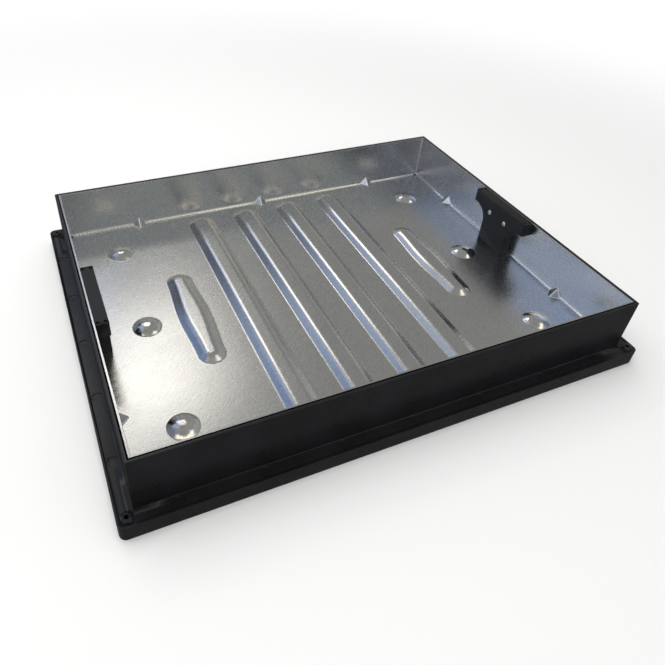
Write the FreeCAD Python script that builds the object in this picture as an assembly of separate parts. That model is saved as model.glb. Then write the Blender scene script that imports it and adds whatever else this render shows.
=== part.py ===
import FreeCAD, Part
import math
import os

# Recessed paving cover: a pressed steel tray that rests in a moulded frame.
# Millimetres. The origin is on the ground under the middle, X along the long side, Z up.

V = FreeCAD.Vector

# Frame
CLEAR_X = 600.0          # clear opening below the tray
CLEAR_Y = 450.0
LEDGE = 21.5             # ledge that carries the tray, from the opening to the wall
WALL = 3.5               # upright wall
FLANGE = 18.5            # reach of the flange outside the wall
BASE_HEIGHT = 20.0       # from the ground to the ledge and the flange
PLATE = 4.0              # thickness of the ledge and the flange
SKIRT = 3.0              # edges that hang from the plate down to the ground
WEB = 2.5                # cross walls below the plate
WEB_LIFT = 3.0           # gap from the ground to the cross walls
WEB_PITCH = 188.0
BASE_RADIUS = 8.0        # upright corners of the flange
OPENING_RADIUS = 5.0     # upright corners of the opening
RIM_RADIUS = 1.5         # upright corners of the wall, outside
RIM_BREAK = 0.4          # bevel of the wall's top edges
LIP_WIDTH = 2.5          # raised edge along the flange
LIP_HEIGHT = 1.2
MARK_PITCH = 94.0        # low round marks along the flange
MARK_DIAMETER = 13.0
MARK_DEPTH = 0.8
BOSS_DIAMETER = 12.5     # fixing bosses at the flange's corners
BOSS_RISE = 3.5
FIXING_HOLE = 5.0

# Seal in the ledge
SEAL_WIDTH = 9.0
SEAL_DEPTH = 2.0
SEAL_INSET = 5.0         # from the opening's edge to the groove

# Tray
SHEET = 2.0
RECESS = 73.0            # from the rim down to the tray's floor
TRAY_GAP = 1.5           # between the tray and the frame's wall
BEND = 2.5               # inside radius of the floor's bends
WELD = 1.2               # root of the weld in the upright corners
RELIEF_HOLE = 5.0        # hole where two bends meet

# Forms pressed up from the tray's floor
SWAGE_HEIGHT = 6.0
SWAGE_RUN = 10.5         # how far a swage's side slopes in
CREST_EASE = 4.0         # rounding along a swage's crest
FOOT_EASE = 4.0          # rounding where a form rises from the floor
LONG_SWAGES = 4
LONG_WIDTH = 41.5
LONG_PITCH = 76.0
LONG_MARGIN = 14.0       # from a long wall to a swage's end
SHORT_INSET = 130.0      # from a short wall to the short swage's middle line
SHORT_LENGTH = 185.0
SHORT_WIDTH = 43.0       # at its middle
SHORT_END = 35.0         # at its ends
DOME_DIAMETER = 37.0
DOME_HEIGHT = 7.0
DOME_INSET = 66.0        # from a short wall
DOME_PITCH = 172.0
DART_HALF = 11.5         # corner darts across the floor's bends
DART_REACH = 12.5
LONG_WALL_DART = 208.0   # from the middle of a long wall to its outer darts
SHORT_WALL_DART = 137.0  # from the middle of a short wall to its darts

# Lifting blocks
BLOCK_RISE = 1.0         # from the rim up to the cap's top
BLOCK_DEPTH = 16.0       # from the wall to the block's face
EAR_FLAT = 4.5           # level underside at each end of the T's bar
EAR_HEIGHT = 20.5        # height of the T's bar, cap included
BODY_HALF = 28.0         # half width of the T's stem
NECK_RADIUS = 24.5       # hollow curve between bar and stem
BLOCK_SHELL = 3.0        # moulded wall of the block
BLOCK_EASE = 0.8         # bevel of the block's face edges
BLOCK_TOP = 5.0          # top wall of the block, below the cap
CAP_THICKNESS = 3.0
CAP_EASE = 0.5
NOTCH = 4.0              # square pry notches at the cap's corners
NOTCH_END = 2.5          # from the cap's end to a notch
NOTCH_SIDE = 1.2         # from the cap's side to a notch
PRY_PITCH = 52.0         # small pry notches in the block's face, along the cap's joint
PRY_WIDTH = 4.0
PRY_HEIGHT = 1.5
PRY_DEPTH = 1.5
LEG_WIDTH = 8.0          # snap legs below the cap
LEG_GAP = 1.0            # from the key plate's end to a leg
LEG_THICKNESS = 2.0
LEG_LENGTH = 9.0
LEG_HOOK = 0.8
LEG_SPACING = 6.0        # between the two legs of a pair
FIT = 0.3                # clearance of what drops into the block

# Key plate under each cap
KEY_LENGTH = 80.0
KEY_WIDTH = 10.5
KEY_THICKNESS = 2.5
KEY_ENTRY = 7.0          # round end of the keyhole
KEY_SLOT = 4.5           # narrow end of the keyhole
KEY_TRAVEL = 22.0        # from the round end to the narrow end
KEY_LEDGE = 1.7          # what the plate's edges bear on

# Hollow rivets through the blocks
RIVET_OFFSET = 17.4      # from the block's middle line
RIVET_DROP = 21.5        # from the cap's top
RIVET_HEAD = 8.0
RIVET_HEAD_HEIGHT = 1.6
RIVET_SHANK = 4.0
RIVET_BORE = 2.4
RIVET_TAIL = 6.5
RIVET_TAIL_HEIGHT = 0.9
RIVET_FIT = 0.1
RIVET_BOSS = 10.0        # moulded boss round each rivet
OVERRUN = 1.0            # how far a drill passes what it goes through

# Heights and half sizes that follow
FLOOR_Z = BASE_HEIGHT + SHEET
RIM_Z = FLOOR_Z + RECESS
OPEN_X = CLEAR_X / 2
OPEN_Y = CLEAR_Y / 2
SHAFT_X = OPEN_X + LEDGE
SHAFT_Y = OPEN_Y + LEDGE
RIM_X = SHAFT_X + WALL
RIM_Y = SHAFT_Y + WALL
BASE_X = RIM_X + FLANGE
BASE_Y = RIM_Y + FLANGE
TRAY_X = SHAFT_X - TRAY_GAP
TRAY_Y = SHAFT_Y - TRAY_GAP
INSIDE_X = TRAY_X - SHEET
INSIDE_Y = TRAY_Y - SHEET
MIDFLANGE = FLANGE / 2 - LIP_WIDTH / 2
FIRST_SWAGE = LONG_PITCH * (LONG_SWAGES - 1) / 2
CAP_Z = RIM_Z + BLOCK_RISE
BLOCK_Z = CAP_Z - CAP_THICKNESS
EAR_Z = CAP_Z - EAR_HEIGHT
FACE_X = INSIDE_X - BLOCK_DEPTH
EAR_HALF = BODY_HALF + NECK_RADIUS + EAR_FLAT
LEG_OFFSET = KEY_LENGTH / 2 + LEG_GAP + LEG_WIDTH / 2
RIVET_Z = CAP_Z - RIVET_DROP


def block(x0, x1, y0, y1, z0, z1):
    """Plain box between two corners."""
    return Part.makeBox(x1 - x0, y1 - y0, z1 - z0, V(x0, y0, z0))


def slab(half_x, half_y, z0, z1, radius=0.0):
    """Upright prism on a centred rectangle, its corners rounded."""
    solid = block(-half_x, half_x, -half_y, half_y, z0, z1)
    if radius <= 0:
        return solid
    upright = [e for e in solid.Edges if abs(e.Vertexes[0].Z - e.Vertexes[1].Z) > (z1 - z0) / 2]
    return solid.makeFillet(radius, upright)


def post(x, y, z0, z1, diameter):
    """Upright cylinder."""
    return Part.makeCylinder(diameter / 2, z1 - z0, V(x, y, z0))


def steps(pitch, half_span):
    """Evenly spaced places either side of the middle, inside half_span."""
    count = int(half_span // pitch)
    return [pitch * i for i in range(-count, count + 1)]


def single(solid):
    """A boolean's result as one plain solid."""
    return solid.Solids[0] if len(solid.Solids) == 1 else solid


def level_edges(solid, z):
    """Edges that lie flat at one height."""
    return [e for e in solid.Edges if all(abs(v.Z - z) < 1e-4 for v in e.Vertexes)
            and abs(e.CenterOfMass.z - z) < 1e-4]


def flange_places(inset):
    """Middle of the flange along all four sides, at the marks' pitch."""
    mid_x = RIM_X + MIDFLANGE
    mid_y = RIM_Y + MIDFLANGE
    along_y = steps(MARK_PITCH, RIM_Y - inset)
    along_x = steps(MARK_PITCH, RIM_X - inset)
    sides = [(side * mid_x, y) for side in (-1, 1) for y in along_y]
    return sides + [(x, side * mid_y) for side in (-1, 1) for x in along_x]


def corner_places():
    """Middles of the four fixing bosses."""
    x = RIM_X + MIDFLANGE
    y = RIM_Y + MIDFLANGE
    return [(sx * x, sy * y) for sx in (-1, 1) for sy in (-1, 1)]


def frame_webs(channel):
    """Cross walls that stiffen the channel below the plate."""
    top = BASE_HEIGHT - PLATE
    bars = []
    for x in steps(WEB_PITCH, OPEN_X):
        bars.append(block(x - WEB / 2, x + WEB / 2, -BASE_Y, BASE_Y, WEB_LIFT, top))
    for y in steps(WEB_PITCH, OPEN_Y):
        bars.append(block(-BASE_X, BASE_X, y - WEB / 2, y + WEB / 2, WEB_LIFT, top))
    return [channel.common(bar) for bar in bars]


def frame():
    """Wall, ledge and flange moulded in one, open below."""
    base = slab(BASE_X, BASE_Y, 0, BASE_HEIGHT, BASE_RADIUS)
    lip = slab(BASE_X, BASE_Y, BASE_HEIGHT, BASE_HEIGHT + LIP_HEIGHT, BASE_RADIUS)
    lip = lip.cut(slab(BASE_X - LIP_WIDTH, BASE_Y - LIP_WIDTH, BASE_HEIGHT, BASE_HEIGHT + LIP_HEIGHT,
                       BASE_RADIUS - LIP_WIDTH))
    wall = slab(RIM_X, RIM_Y, BASE_HEIGHT, RIM_Z, RIM_RADIUS)
    wall = wall.cut(slab(SHAFT_X, SHAFT_Y, BASE_HEIGHT, RIM_Z))
    wall = wall.makeChamfer(RIM_BREAK, level_edges(wall, RIM_Z))
    channel = slab(BASE_X - SKIRT, BASE_Y - SKIRT, 0, BASE_HEIGHT - PLATE, BASE_RADIUS - SKIRT)
    channel = channel.cut(slab(OPEN_X + SKIRT, OPEN_Y + SKIRT, 0, BASE_HEIGHT - PLATE,
                               OPENING_RADIUS + SKIRT))
    webs = frame_webs(channel)
    body = base.cut(channel)
    bosses = [post(x, y, 0, BASE_HEIGHT + BOSS_RISE, BOSS_DIAMETER) for x, y in corner_places()]
    body = body.fuse([lip, wall] + webs + bosses)
    body = body.cut(slab(OPEN_X, OPEN_Y, 0, BASE_HEIGHT, OPENING_RADIUS))
    groove_low = BASE_HEIGHT - SEAL_DEPTH
    body = body.cut(seal_ring(groove_low, BASE_HEIGHT))
    body = body.cut([post(x, y, 0, BASE_HEIGHT + BOSS_RISE, FIXING_HOLE) for x, y in corner_places()])
    marks = [post(x, y, BASE_HEIGHT - MARK_DEPTH, BASE_HEIGHT, MARK_DIAMETER)
             for x, y in flange_places(MARK_DIAMETER)]
    return single(body.cut(marks).removeSplitter())


def seal_ring(z0, z1):
    """Foam strip all round the ledge, and the groove that holds it."""
    inner_x = OPEN_X + SEAL_INSET
    inner_y = OPEN_Y + SEAL_INSET
    ring = slab(inner_x + SEAL_WIDTH, inner_y + SEAL_WIDTH, z0, z1, OPENING_RADIUS + SEAL_WIDTH)
    return ring.cut(slab(inner_x, inner_y, z0, z1, OPENING_RADIUS))


def seal_strip():
    """Foam strip that fills the ledge's groove."""
    return single(seal_ring(BASE_HEIGHT - SEAL_DEPTH, BASE_HEIGHT))


def pill(x, length, width, middle, z):
    """Wire of a round-ended outline along Y that swells from its width to its middle width."""
    end = width / 2
    bulge = middle / 2
    y = length / 2 - end
    corners = [V(x + end, -y, z), V(x + bulge, 0, z), V(x + end, y, z)]
    mirror = [V(x - end, y, z), V(x - bulge, 0, z), V(x - end, -y, z)]
    far = Part.Arc(corners[2], V(x, y + end, z), mirror[0])
    near = Part.Arc(mirror[2], V(x, -y - end, z), corners[0])
    if abs(bulge - end) < 1e-6:
        right = [Part.LineSegment(corners[0], corners[2])]
        left = [Part.LineSegment(mirror[0], mirror[2])]
    else:
        right = [Part.LineSegment(corners[0], corners[1]), Part.LineSegment(corners[1], corners[2])]
        left = [Part.LineSegment(mirror[0], mirror[1]), Part.LineSegment(mirror[1], mirror[2])]
    return Part.Wire([c.toShape() for c in right + [far] + left + [near]])


def swage(x, length, width, middle, eased=True):
    """Raised form with sloping sides and rounded ends, standing on the tray's floor."""
    foot = pill(x, length, width, middle, FLOOR_Z)
    crest = pill(x, length - 2 * SWAGE_RUN, width - 2 * SWAGE_RUN, middle - 2 * SWAGE_RUN,
                 FLOOR_Z + SWAGE_HEIGHT)
    form = Part.makeLoft([foot, crest], True, True)
    if not eased:
        return form
    return form.makeFillet(CREST_EASE, level_edges(form, FLOOR_Z + SWAGE_HEIGHT))


def dome(x, y, eased=True):
    """Cap of a sphere standing on the tray's floor, its foot flared out or left sharp."""
    half = DOME_DIAMETER / 2
    radius = (half * half + DOME_HEIGHT * DOME_HEIGHT) / (2 * DOME_HEIGHT)
    centre_z = FLOOR_Z + DOME_HEIGHT - radius
    top = V(0, 0, FLOOR_Z + DOME_HEIGHT)
    if eased:
        reach = math.sqrt((radius + FOOT_EASE) ** 2 - (FLOOR_Z + FOOT_EASE - centre_z) ** 2)
        share = radius / (radius + FOOT_EASE)
        join = V(reach * share, 0, centre_z + (FLOOR_Z + FOOT_EASE - centre_z) * share)
        foot = V(reach, 0, FLOOR_Z)
        lean = math.atan2(reach, FLOOR_Z + FOOT_EASE - centre_z)
        low = V(reach - FOOT_EASE * math.sin(lean / 2), 0, FLOOR_Z + FOOT_EASE * (1 - math.cos(lean / 2)))
        side = [Part.Arc(join, low, foot).toShape()]
    else:
        lean = math.asin(half / radius)
        join = foot = V(half, 0, FLOOR_Z)
        side = []
    crown = Part.Arc(top, V(radius * math.sin(lean / 2), 0, centre_z + radius * math.cos(lean / 2)), join)
    middle = V(0, 0, FLOOR_Z)
    edges = [crown.toShape()] + side + [Part.makeLine(foot, middle), Part.makeLine(middle, top)]
    return moved(Part.Face(Part.Wire(edges)).revolve(V(0, 0, 0), V(0, 0, 1), 360), V(x, y, 0))


def tetrahedron(a, b, c, d):
    """Solid with four triangular faces."""
    faces = [Part.Face(Part.makePolygon([p, q, r, p])) for p, q, r in ((a, b, c), (a, b, d), (a, c, d), (b, c, d))]
    return Part.Solid(Part.Shell(faces))


def dart(at, along, inward):
    """Dart across a floor bend: a ridge from the wall down to the floor between two flanks."""
    up = V(0, 0, DART_REACH)
    solid = tetrahedron(at - along * DART_HALF, at + along * DART_HALF, at + up, at + inward * DART_REACH)
    if solid.Volume < 0:
        solid.reverse()
    return solid


def tray_darts():
    """Each dart with the way that leads out through the wall beside it."""
    found = []
    for side in (-1, 1):
        for x in (-LONG_WALL_DART, 0, LONG_WALL_DART):
            out = V(0, side, 0)
            found.append((dart(V(x, side * INSIDE_Y, FLOOR_Z), V(1, 0, 0), out * -1), out))
        for y in (-SHORT_WALL_DART, SHORT_WALL_DART):
            out = V(side, 0, 0)
            found.append((dart(V(side * INSIDE_X, y, FLOOR_Z), V(0, 1, 0), out * -1), out))
    return found


def floor_forms(eased=True):
    """Swages and domes, eased or with sharp edges."""
    forms = []
    for i in range(LONG_SWAGES):
        x = i * LONG_PITCH - FIRST_SWAGE
        forms.append(swage(x, 2 * (INSIDE_Y - LONG_MARGIN), LONG_WIDTH, LONG_WIDTH, eased))
    for side in (-1, 1):
        forms.append(swage(side * (INSIDE_X - SHORT_INSET), SHORT_LENGTH, SHORT_END, SHORT_WIDTH, eased))
        for y in (-DOME_PITCH, 0, DOME_PITCH):
            forms.append(dome(side * (INSIDE_X - DOME_INSET), y, eased))
    return forms


def pan():
    """Folded sheet with its corners welded, before anything is pressed into it."""
    outer = slab(TRAY_X, TRAY_Y, BASE_HEIGHT, RIM_Z)
    outer = outer.makeFillet(BEND + SHEET, level_edges(outer, BASE_HEIGHT))
    inner = slab(INSIDE_X, INSIDE_Y, FLOOR_Z, RIM_Z, WELD)
    inner = inner.makeFillet(BEND, level_edges(inner, FLOOR_Z))
    return outer.cut(inner)


def moved(solid, step):
    """Copy of a solid, shifted."""
    copy = solid.copy()
    copy.translate(step)
    return copy


def foot_edges(body):
    """Edges where the swages rise from the floor."""
    reach = INSIDE_X - SHORT_INSET + SHORT_WIDTH / 2
    return [e for e in level_edges(body, FLOOR_Z)
            if all(abs(v.X) < reach + 1 and abs(v.Y) < INSIDE_Y - BEND - 1 for v in e.Vertexes)]


def tray():
    """Pan with every form pressed through the sheet, relief holes and rivet holes."""
    down = V(0, 0, -SHEET)
    body = pan().fuse(floor_forms())
    body = body.makeFillet(FOOT_EASE, foot_edges(body))
    body = body.cut([moved(form, down) for form in floor_forms(eased=False)])
    darts = tray_darts()
    body = body.fuse([d for d, out in darts])
    body = body.cut([moved(d, down + out * SHEET) for d, out in darts])
    holes = []
    for sx in (-1, 1):
        for sy in (-1, 1):
            way = V(sx, sy, -1)
            start = V(sx * INSIDE_X, sy * INSIDE_Y, FLOOR_Z) - way * (2 * BEND)
            holes.append(Part.makeCylinder(RELIEF_HOLE / 2, 8 * (BEND + SHEET), start, way))
        for sy in (-1, 1):
            start = V(sx * (INSIDE_X - SHEET), sy * RIVET_OFFSET, RIVET_Z)
            holes.append(Part.makeCylinder(RIVET_SHANK / 2 + RIVET_FIT, 3 * SHEET, start, V(sx, 0, 0)))
    return single(body.cut(holes).removeSplitter())


def block_outline(shrink, top):
    """Face of the T-shaped outline in the wall's plane, drawn in by shrink."""
    ear = EAR_HALF - shrink
    stem = BODY_HALF - shrink
    bar_z = EAR_Z + shrink
    centre_y = BODY_HALF + NECK_RADIUS
    centre_z = EAR_Z - NECK_RADIUS
    radius = NECK_RADIUS + shrink
    mid = radius * math.sqrt(0.5)
    x = INSIDE_X
    foot = FLOOR_Z + shrink
    edges = []
    for side in (1, -1):
        arc = Part.Arc(V(x, side * centre_y, bar_z), V(x, side * (centre_y - mid), centre_z + mid),
                       V(x, side * stem, centre_z))
        edges += [Part.makeLine(V(x, side * ear, top), V(x, side * ear, bar_z)),
                  Part.makeLine(V(x, side * ear, bar_z), V(x, side * centre_y, bar_z)),
                  arc.toShape(),
                  Part.makeLine(V(x, side * stem, centre_z), V(x, side * stem, foot))]
    edges += [Part.makeLine(V(x, -ear, top), V(x, ear, top)),
              Part.makeLine(V(x, -stem, foot), V(x, stem, foot))]
    return Part.Face(Part.Wire(Part.__sortEdges__(edges)))


def bend_clearance():
    """What a block's foot leaves free for the bend in the tray's floor."""
    room = BEND + FIT
    corner = block(INSIDE_X - room, INSIDE_X, -EAR_HALF, EAR_HALF, FLOOR_Z, FLOOR_Z + room)
    keep = Part.makeCylinder(room, 2 * EAR_HALF, V(INSIDE_X - room, -EAR_HALF, FLOOR_Z + room), V(0, 1, 0))
    return corner.cut(keep)


def lift_block():
    """Moulded T-shaped socket on the right wall: a shell that is open towards the wall."""
    body = block_outline(0, BLOCK_Z).extrude(V(-BLOCK_DEPTH, 0, 0))
    face_edges = [e for e in body.Edges if all(abs(v.X - FACE_X) < 1e-4 for v in e.Vertexes)
                  and e.CenterOfMass.z < BLOCK_Z - 1e-3 and e.CenterOfMass.z > FLOOR_Z + 1e-3]
    body = body.makeChamfer(BLOCK_EASE, face_edges)
    core = block_outline(BLOCK_SHELL, BLOCK_Z - BLOCK_TOP).extrude(V(BLOCK_SHELL - BLOCK_DEPTH, 0, 0))
    body = body.cut(core)
    bosses = []
    for side in (-1, 1):
        start = V(FACE_X + BLOCK_SHELL, side * RIVET_OFFSET, RIVET_Z)
        bosses.append(Part.makeCylinder(RIVET_BOSS / 2, BLOCK_DEPTH - BLOCK_SHELL, start, V(1, 0, 0)))
    rib = block(FACE_X + BLOCK_SHELL, INSIDE_X, -BLOCK_SHELL / 2, BLOCK_SHELL / 2,
                FLOOR_Z + BLOCK_SHELL, RIVET_Z - RIVET_BOSS)
    body = body.fuse(bosses + [rib])
    cuts = [bend_clearance()]
    for side in (-1, 1):
        start = V(FACE_X - OVERRUN, side * RIVET_OFFSET, RIVET_Z)
        length = BLOCK_DEPTH + 2 * OVERRUN
        cuts.append(Part.makeCylinder(RIVET_SHANK / 2 + RIVET_FIT, length, start, V(1, 0, 0)))
    seat = KEY_THICKNESS
    cuts.append(key_pocket(FIT, BLOCK_Z - seat, BLOCK_Z))
    cuts.append(key_pocket(-KEY_LEDGE, BLOCK_Z - BLOCK_TOP, BLOCK_Z))
    for x, y in leg_places():
        cuts.append(block(x - LEG_THICKNESS / 2 - FIT, x + LEG_THICKNESS / 2 + FIT,
                          y - LEG_WIDTH / 2 - FIT, y + LEG_WIDTH / 2 + FIT, BLOCK_Z - BLOCK_TOP, BLOCK_Z))
    for y in steps(PRY_PITCH, EAR_HALF):
        cuts.append(block(FACE_X, FACE_X + PRY_DEPTH, y - PRY_WIDTH / 2, y + PRY_WIDTH / 2,
                          BLOCK_Z - PRY_HEIGHT, BLOCK_Z))
    return single(body.cut(cuts).removeSplitter())


def key_middle():
    """Middle line of the key plate, half way between the block's face and the tray's wall."""
    return INSIDE_X - BLOCK_DEPTH / 2


def key_pocket(grow, z0, z1):
    """Key plate's outline, grown or shrunk, as a cut."""
    half_x = KEY_WIDTH / 2 + grow
    half_y = KEY_LENGTH / 2 + grow
    x = key_middle()
    return block(x - half_x, x + half_x, -half_y, half_y, z0, z1)


def key_plate():
    """Steel plate with a keyhole slot that the lifting key hooks under."""
    plate = key_pocket(0, BLOCK_Z - KEY_THICKNESS, BLOCK_Z)
    x = key_middle()
    low = BLOCK_Z - KEY_THICKNESS
    start = -KEY_TRAVEL / 2
    entry = post(x, start, low, BLOCK_Z, KEY_ENTRY)
    end = post(x, -start, low, BLOCK_Z, KEY_SLOT)
    slot = block(x - KEY_SLOT / 2, x + KEY_SLOT / 2, start, -start, low, BLOCK_Z)
    return single(plate.cut([entry, end, slot]))


def leg_places():
    """Middles of the cap's snap legs."""
    x = key_middle()
    return [(x + sx * LEG_SPACING / 2, sy * LEG_OFFSET) for sx in (-1, 1) for sy in (-1, 1)]


def lift_cap():
    """Plate that closes the block's top, with pry notches and snap legs."""
    plate = block(FACE_X, INSIDE_X, -EAR_HALF, EAR_HALF, BLOCK_Z, CAP_Z)
    rim = [e for e in level_edges(plate, CAP_Z) if e.CenterOfMass.x < INSIDE_X - 1e-3]
    plate = plate.makeFillet(CAP_EASE, rim)
    notches = []
    for sy in (-1, 1):
        y0 = EAR_HALF - NOTCH_END - NOTCH
        low, high = sorted((sy * y0, sy * (y0 + NOTCH)))
        near = FACE_X + NOTCH_SIDE
        far = INSIDE_X - NOTCH_SIDE - NOTCH
        for x in (near, far):
            notches.append(block(x, x + NOTCH, low, high, BLOCK_Z, CAP_Z))
    plate = plate.cut(notches)
    legs = []
    middle = key_middle()
    for x, y in leg_places():
        out = 1 if x > middle else -1
        foot = BLOCK_Z - LEG_LENGTH
        legs.append(block(x - LEG_THICKNESS / 2, x + LEG_THICKNESS / 2, y - LEG_WIDTH / 2,
                          y + LEG_WIDTH / 2, foot, BLOCK_Z))
        side = x + out * LEG_THICKNESS / 2
        hook_top = BLOCK_Z - BLOCK_TOP - FIT
        profile = Part.makePolygon([V(side, y - LEG_WIDTH / 2, hook_top),
                                    V(side + out * LEG_HOOK, y - LEG_WIDTH / 2, hook_top),
                                    V(side, y - LEG_WIDTH / 2, foot),
                                    V(side, y - LEG_WIDTH / 2, hook_top)])
        legs.append(Part.Face(profile).extrude(V(0, LEG_WIDTH, 0)))
    return single(plate.fuse(legs).removeSplitter())


def rivet(y):
    """Hollow rivet through the block and the tray's wall, its head on the block's face."""
    half_head = RIVET_HEAD / 2
    bore = RIVET_BORE / 2
    shank = RIVET_SHANK / 2
    end_x = TRAY_X + RIVET_TAIL_HEIGHT
    crown = FACE_X - RIVET_HEAD_HEIGHT
    profile = [V(crown, bore, 0), V(crown, bore + (half_head - bore) / 3, 0),
               V(crown + RIVET_HEAD_HEIGHT / 3, half_head * 0.85, 0), V(FACE_X, half_head, 0),
               V(FACE_X, shank, 0), V(TRAY_X, shank, 0), V(TRAY_X, RIVET_TAIL / 2, 0),
               V(end_x, RIVET_TAIL / 2, 0), V(end_x, bore, 0), V(crown, bore, 0)]
    solid = Part.Face(Part.makePolygon(profile)).revolve(V(0, 0, 0), V(1, 0, 0), 360)
    solid.translate(V(0, y, RIVET_Z))
    return solid


def block_rivets():
    """Two rivets in each block."""
    pair = [rivet(-RIVET_OFFSET), rivet(RIVET_OFFSET)]
    return Part.makeCompound(pair + [other_end(one) for one in pair])


def other_end(shape):
    """The same piece at the left end."""
    copy = shape.copy()
    copy.rotate(V(0, 0, 0), V(0, 0, 1), 180)
    return copy


def main():
    os.makedirs("parts", exist_ok=True)
    nodes = {"frame": frame(), "seal_strip": seal_strip(), "tray": tray(), "block_rivets": block_rivets()}
    for name, shape in (("lift_block", lift_block()), ("key_plate", key_plate()), ("lift_cap", lift_cap())):
        nodes[name + "_right"] = shape
        nodes[name + "_left"] = other_end(shape)
    for name, shape in nodes.items():
        shape.exportStep("parts/" + name + ".step")
        print(name, "solids", len(shape.Solids), "valid", shape.isValid(), "cm3", round(shape.Volume / 1000, 2))


main()
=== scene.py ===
# %% [markdown]
# # A recessed paving cover
# The real thing is a pan of galvanised steel sheet that is filled with paving and lies in a black moulded frame.
# The solids of every piece are loaded first, as a fixed frame in metres. This file gives them their surfaces:
# the pressed sheet is drawn again as one fine mesh, the welds are added, and each piece gets its finish.

# %% Load the solids
import math

import bmesh
import bpy
import numpy as np
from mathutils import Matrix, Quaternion, Vector, noise
from mathutils.geometry import delaunay_2d_cdt


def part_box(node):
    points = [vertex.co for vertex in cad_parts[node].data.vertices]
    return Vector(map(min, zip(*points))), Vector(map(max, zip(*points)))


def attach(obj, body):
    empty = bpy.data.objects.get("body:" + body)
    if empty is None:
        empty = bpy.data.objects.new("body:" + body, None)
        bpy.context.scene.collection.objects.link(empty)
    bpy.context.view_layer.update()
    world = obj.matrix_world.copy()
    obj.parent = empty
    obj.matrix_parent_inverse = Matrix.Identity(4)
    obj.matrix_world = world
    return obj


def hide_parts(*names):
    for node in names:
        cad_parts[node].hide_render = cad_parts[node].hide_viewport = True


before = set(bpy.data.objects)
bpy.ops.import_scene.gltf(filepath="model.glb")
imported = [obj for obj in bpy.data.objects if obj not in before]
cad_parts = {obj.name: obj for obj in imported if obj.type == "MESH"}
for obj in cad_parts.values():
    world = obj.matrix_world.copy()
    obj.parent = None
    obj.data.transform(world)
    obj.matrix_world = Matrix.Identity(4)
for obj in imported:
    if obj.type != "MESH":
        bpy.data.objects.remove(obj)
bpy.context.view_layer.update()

MM = 0.001
print("solids:", ", ".join(sorted(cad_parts)))

# %% [markdown]
# ## The camera
# A photographer stood in front of the cover's left half and looked down on it. The camera comes first, because
# every later choice is judged through it. Its lens is shifted a little, as the picture's frame was cut off centre.

# %% Camera
CAMERA_PLACE = (-0.3394, -0.6039, 0.5830)
CAMERA_TURN = (51.05, -2.89, -23.41)
CAMERA_LENS = 33.2
CAMERA_SHIFT = (0.0632, -0.0760)


def make_camera():
    """Camera at the photographer's place."""
    data = bpy.data.cameras.new("camera")
    data.lens = CAMERA_LENS
    data.sensor_width = 36
    data.shift_x, data.shift_y = CAMERA_SHIFT
    data.clip_start, data.clip_end = 0.01, 50
    camera = bpy.data.objects.new("camera", data)
    camera.location = CAMERA_PLACE
    camera.rotation_euler = [math.radians(angle) for angle in CAMERA_TURN]
    bpy.context.scene.collection.objects.link(camera)
    bpy.context.scene.camera = camera
    return camera


camera = make_camera()
print("camera", round(Vector(CAMERA_PLACE).length, 3), "m from the cover's middle")

# %% [markdown]
# ## Writing node trees as sums
# Materials are sums over the surface, such as "roughness is 0.3 plus a tenth of the speckle". The class below wraps
# a node's output so that Python's own signs add the Math nodes. Every other node comes from one method, which sets
# the node's settings first and then its sockets, from numbers or from other outputs.

# %% A graph of nodes, and outputs that can be summed
class Out:
    """One output socket that can stand in a sum."""

    def __init__(self, graph, socket):
        self.graph = graph
        self.socket = socket

    def math(self, operation, *values):
        return self.graph.node("ShaderNodeMath", {"operation": operation}, dict(enumerate(values)))

    def __add__(self, other):
        return self.math("ADD", self, other)

    def __sub__(self, other):
        return self.math("SUBTRACT", self, other)

    def __rsub__(self, other):
        return self.math("SUBTRACT", other, self)

    def __mul__(self, other):
        return self.math("MULTIPLY", self, other)

    __radd__ = __add__
    __rmul__ = __mul__

    def ramp(self, low, high, to_low=0.0, to_high=1.0):
        """Smooth step from to_low at low to to_high at high."""
        return self.graph.node("ShaderNodeMapRange", {"interpolation_type": "SMOOTHSTEP"},
                               {"Value": self, "From Min": low, "From Max": high,
                                "To Min": to_low, "To Max": to_high})


class Graph:
    """A node tree and the one way in which this file adds nodes to it."""

    def __init__(self, tree):
        self.tree = tree

    def node(self, kind, settings=None, values=None, out=0):
        """Adds a node, sets it, feeds its sockets and returns one of its outputs."""
        made = self.tree.nodes.new(kind)
        for name, value in (settings or {}).items():
            if name == "stops":
                self.set_stops(made.color_ramp, value)
            else:
                setattr(made, name, value)
        for key, value in (values or {}).items():
            if isinstance(value, Out):
                self.tree.links.new(value.socket, made.inputs[key])
            else:
                made.inputs[key].default_value = value
        return Out(self, made.outputs[out]) if made.outputs else made

    @staticmethod
    def set_stops(ramp, stops):
        """Puts a ramp's stops at their places, each a place and a colour."""
        while len(ramp.elements) < len(stops):
            ramp.elements.new(0.5)
        for element, (place, colour) in zip(ramp.elements, stops):
            element.position = place
            element.color = colour


def grey(level, alpha=1.0):
    """A neutral colour."""
    return (level, level, level, alpha)


print("graph helpers ready")

# %% [markdown]
# ## Finishes
# A finish is a material whose pattern reads Object coordinates, so it is fixed to the steel or the plastic in
# metres and doesn't swim when the camera moves. The patterns are noise at the sizes that the real surfaces show.

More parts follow.
